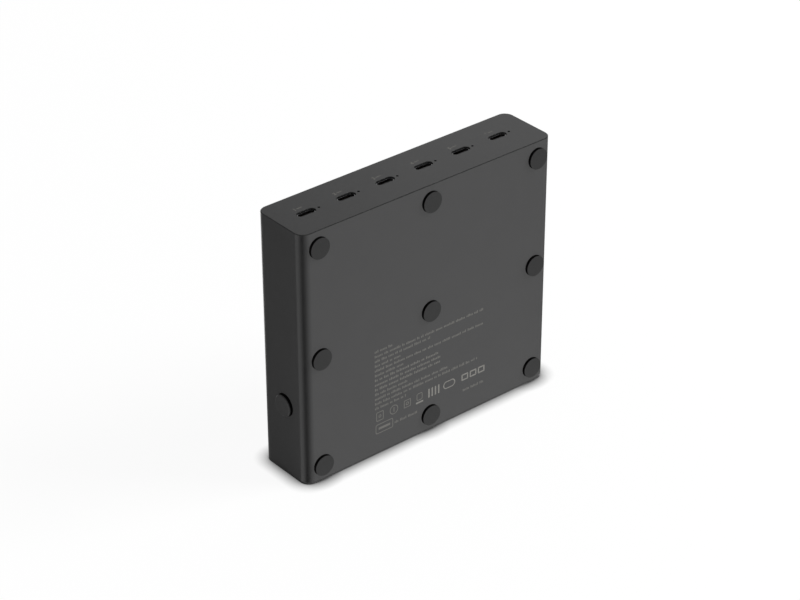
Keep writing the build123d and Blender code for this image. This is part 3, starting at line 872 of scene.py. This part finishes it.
class CHARGER_OT_stage(bpy.types.Operator):
    """Lay the pale floor and set the world, the lamps, the cards and the camera"""
    bl_idname = "charger.stage"
    bl_label = "Stage"

    # The camera, as it was fitted to the photograph
    azimuth = math.radians(-39.8206)
    elevation = math.radians(31.2407)
    roll = math.radians(-0.0951)
    distance = 1.11136
    slide = (-0.003505, -0.001565)
    target = Vector((0, 0, 0.06256))
    sensor = 36.0
    clip = (0.05, 20.0)

    # The lamps: name, place, width, setting of their power, and whether the gloss shows them
    lamps = (
        ("key", (2.3, -1.5, 2.1), 1.6, "key", False),
        ("rim", (0.95, 0.75, 0.75), 0.8, "rim", True),
    )

    # The cards on the floor: each shows in an upright edge between two turns of it, in degrees
    left_fan = (-17.0, 5.0, 28.0, 37.0, 50.0, 60.0, 70.0, 115.0)
    left_lift = 1.0 * MM
    paler = 2
    shade_parts = (0, 0.25, 0.65, 1)
    right_fan = (98.0, 108.0, 118.0, 128.0, 142.0)
    right_lift = 1.5 * MM
    right_levels = (0.7, 0.45, 0.25, 0.1)
    edge = 4.6 * MM
    reach = 0.6
    fan_steps = 4

    # Where its turn is nought, the way an edge faces and the way it mirrors, in degrees
    facing_start = 180
    mirror_start = 129.8

    # The cards in the air: name, direction from the object, distance, size and level
    flags = (
        ("front_flag", (0.55, -0.5, 0.645), 0.9, (0.8, 0.8), 0.02),
        ("back_flag", (-0.52, 0.66, 0.55), 0.9, (0.8, 0.8), 0.2),
    )
    glow = ("side_glow", (0.72, 0.46, 0.42), 0.45, (0.36, 0.5))

    # The floor
    floor_width = 8.0
    floor_unevenness = 0.02
    shadow_samples = 16

    def execute(self, context):
        look = context.scene.charger_stage
        self.floor(look)
        self.world(look)
        for name, place, width, power, in_gloss in self.lamps:
            self.lamp(name, place, width, getattr(look, power), in_gloss)
        low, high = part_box("housing_sleeve")
        front = low.y + self.edge
        shades = [look.shade + (look.bounce - look.shade) * part for part in self.shade_parts]
        levels = (look.flag, look.strip, look.flag * self.paler, *shades)
        self.fan("fan", Vector((low.x + self.edge, front, self.left_lift)), self.left_fan, levels)
        corner = Vector((high.x - self.edge, front, self.right_lift))
        self.fan("right_fan", corner, self.right_fan, self.right_levels)
        for name, towards, distance, size, level in (*self.flags, (*self.glow, look.glow)):
            self.air_card(name, Vector(towards).normalized(), distance, size, level)
        self.camera(look)
        return {"FINISHED"}

    def fan(self, name, centre, turns, levels):
        """Cards on the floor, side by side around the middle of a rounded upright edge."""
        for number, (start, end, level) in enumerate(zip(turns, turns[1:], levels)):
            self.floor_card(f"{name}_{number}", centre, start, end, level)

    def floor_card(self, name, centre, start, end, level):
        """A card on the floor that shows in a rounded upright edge between two of its turns."""
        mesh_data = bmesh.new()
        edges = []
        for turn in turns_between(start, end, self.fan_steps):
            near = centre + self.edge * self.around(self.facing_start + turn)
            far = near + self.reach * self.around(self.mirror_start + 2 * turn)
            edges.append(mesh_data.edges.new([mesh_data.verts.new(point) for point in (near, far)]))
        for first, second in zip(edges, edges[1:]):
            corners = [first.verts[0], first.verts[1], second.verts[1], second.verts[0]]
            mesh_data.faces.new(corners)
        self.card(mesh_data, name, level)

    def around(self, degrees):
        """A level direction at an angle from the X axis."""
        return Vector((math.cos(math.radians(degrees)), math.sin(math.radians(degrees)), 0))

    def air_card(self, name, towards, distance, size, level):
        """A rectangular card at a distance from the object, square to it."""
        mesh_data = bmesh.new()
        turn = towards.to_track_quat("Z", "Y").to_matrix().to_4x4()
        centre = self.target + towards * distance
        place = Matrix.Translation(centre) @ turn @ Matrix.Diagonal((*size, 1.0, 1.0))
        bmesh.ops.create_grid(mesh_data, x_segments=1, y_segments=1, size=0.5, matrix=place)
        self.card(mesh_data, name, level)

    def card(self, mesh_data, name, strength):
        """A card near the object, which only shows in its gloss."""
        mesh = bpy.data.meshes.new(name)
        mesh_data.to_mesh(mesh)
        mesh_data.free()
        finish = Finish(bpy.data.materials.new(name))
        finish.node("ShaderNodeOutputMaterial", None, {"Surface": finish.glow(strength)})
        mesh.materials.append(finish.owner)
        card = bpy.data.objects.new(name, mesh)
        bpy.context.scene.collection.objects.link(card)
        card.visible_camera = False
        card.visible_diffuse = False
        card.visible_shadow = False

    def floor(self, look):
        """A plain floor: nearly white to the camera, with its shadow and a painted shadow darkening
        that white around the object's foot, and as it is lit to gloss.
        """
        mesh_data = bmesh.new()
        bmesh.ops.create_grid(mesh_data, x_segments=1, y_segments=1, size=self.floor_width / 2)
        mesh = bpy.data.meshes.new("floor")
        mesh_data.to_mesh(mesh)
        mesh_data.free()
        floor = bpy.data.objects.new("floor", mesh)
        bpy.context.scene.collection.objects.link(floor)
        finish = Finish(bpy.data.materials.new("floor_paper"))
        rays = finish.node("ShaderNodeLightPath", output="Is Camera Ray")
        tone = finish.noise(300 * MM)
        colour = finish.shades(tone, WHITE, look.paper, look.paper + self.floor_unevenness)
        paper = finish.node("ShaderNodeBsdfDiffuse", None, {"Color": colour})
        # Painted shadow: near the object, ambient occlusion darkens the white that the camera sees.
        samples = {"samples": self.shadow_samples}
        inputs = {"Distance": look.contact}
        clear = finish.node("ShaderNodeAmbientOcclusion", samples, inputs, "AO")
        painted_shadow_ramp = {"operation": "MULTIPLY_ADD", "use_clamp": True}
        inputs = {0: clear, 1: look.contact_depth, 2: 1 - look.contact_depth}
        cover = finish.glow(finish.node("ShaderNodeMath", painted_shadow_ramp, inputs))
        inputs = {0: rays * look.floor_cover, 1: paper, 2: cover}
        both = finish.node("ShaderNodeMixShader", None, inputs)
        finish.node("ShaderNodeOutputMaterial", None, {"Surface": both})
        mesh.materials.append(finish.owner)

    def world(self, look):
        """White to the camera, dimmer to gloss, and a plain fill for the rest."""
        world = bpy.data.worlds.new("studio")
        bpy.context.scene.world = world
        sky = Finish(world)
        camera = sky.node("ShaderNodeLightPath", output="Is Camera Ray")
        glossy = sky.node("ShaderNodeLightPath", output="Is Glossy Ray")
        clear = sky.node("ShaderNodeLightPath", output="Is Transmission Ray")
        other = 1 - camera - glossy - clear
        strength = camera + (glossy + clear) * look.backdrop + other * look.fill
        shader = sky.node("ShaderNodeBackground", None, {"Color": WHITE, "Strength": strength})
        sky.node("ShaderNodeOutputWorld", None, {"Surface": shader})

    def lamp(self, name, place, width, power, in_gloss):
        """A square soft lamp turned to the object, which its gloss may show or not."""
        data = bpy.data.lights.new(name, "AREA")
        data.shape = "SQUARE"
        data.size = width
        data.energy = power
        lamp = bpy.data.objects.new(name, data)
        bpy.context.scene.collection.objects.link(lamp)
        lamp.location = place
        lamp.visible_glossy = in_gloss
        lamp.rotation_euler = (self.target - lamp.location).to_track_quat("-Z", "Y").to_euler()

    def camera(self, look):
        """The photograph's viewing angle."""
        right = Vector((math.cos(self.azimuth), math.sin(self.azimuth), 0))
        forward = Vector((-right.y, right.x, 0))
        back = Vector((0, 0, math.sin(self.elevation))) - forward * math.cos(self.elevation)
        above = back.cross(right)
        level = right * math.cos(self.roll) + above * math.sin(self.roll)
        upright = above * math.cos(self.roll) - right * math.sin(self.roll)
        eye = self.target + back * self.distance + level * self.slide[0] + upright * self.slide[1]
        data = bpy.data.cameras.new("photo_view")
        data.lens = look.lens
        data.sensor_width = self.sensor
        data.clip_start, data.clip_end = self.clip
        camera = bpy.data.objects.new("photo_view", data)
        bpy.context.scene.collection.objects.link(camera)
        turn = Matrix((level, upright, back)).transposed().to_4x4()
        camera.matrix_world = Matrix.Translation(eye) @ turn
        bpy.context.scene.camera = camera
        bpy.context.scene.view_settings.view_transform = "Standard"


class CHARGER_PT_panel(bpy.types.Panel):
    """Settings and operators of the charger"""
    bl_idname = "CHARGER_PT_panel"
    bl_label = "Charger"
    bl_space_type = "VIEW_3D"
    bl_region_type = "UI"
    bl_category = "Charger"

    def draw(self, context):
        for settings, operators in SECTIONS:
            box = self.layout.box()
            if settings:
                group = getattr(context.scene, settings)
                for name in group.__annotations__:
                    box.prop(group, name)
            for operator in operators:
                box.operator(operator.bl_idname)


# Sections of the panel: the settings of the scene and the operators that use them, in their order
SECTIONS = (
    ("charger_stage", (CHARGER_OT_stage,)),
    ("charger_housing", (CHARGER_OT_inner, CHARGER_OT_housing, CHARGER_OT_inlet)),
    ("charger_feet", (CHARGER_OT_feet,)),
    ("charger_button", (CHARGER_OT_button,)),
    ("charger_sockets", (CHARGER_OT_sockets,)),
    ("charger_print", (CHARGER_OT_print,)),
)
GROUPS = {
    "charger_stage": StageSettings,
    "charger_housing": HousingSettings,
    "charger_feet": FeetSettings,
    "charger_button": ButtonSettings,
    "charger_sockets": SocketSettings,
    "charger_print": PrintSettings,
}
OPERATORS = [operator for _, operators in SECTIONS for operator in operators]
CLASSES = [*GROUPS.values(), *OPERATORS, CHARGER_PT_panel]


def register():
    for cls in CLASSES:
        bpy.utils.register_class(cls)
    for name, group in GROUPS.items():
        setattr(bpy.types.Scene, name, bpy.props.PointerProperty(type=group))


def unregister():
    for name in GROUPS:
        delattr(bpy.types.Scene, name)
    for cls in reversed(CLASSES):
        bpy.utils.unregister_class(cls)


def main():
    """Builds everything in order."""
    register()
    for operator in OPERATORS:
        name = operator.bl_idname.split(".")[1]
        getattr(bpy.ops.charger, name)()


if __name__ == "__main__":
    main()
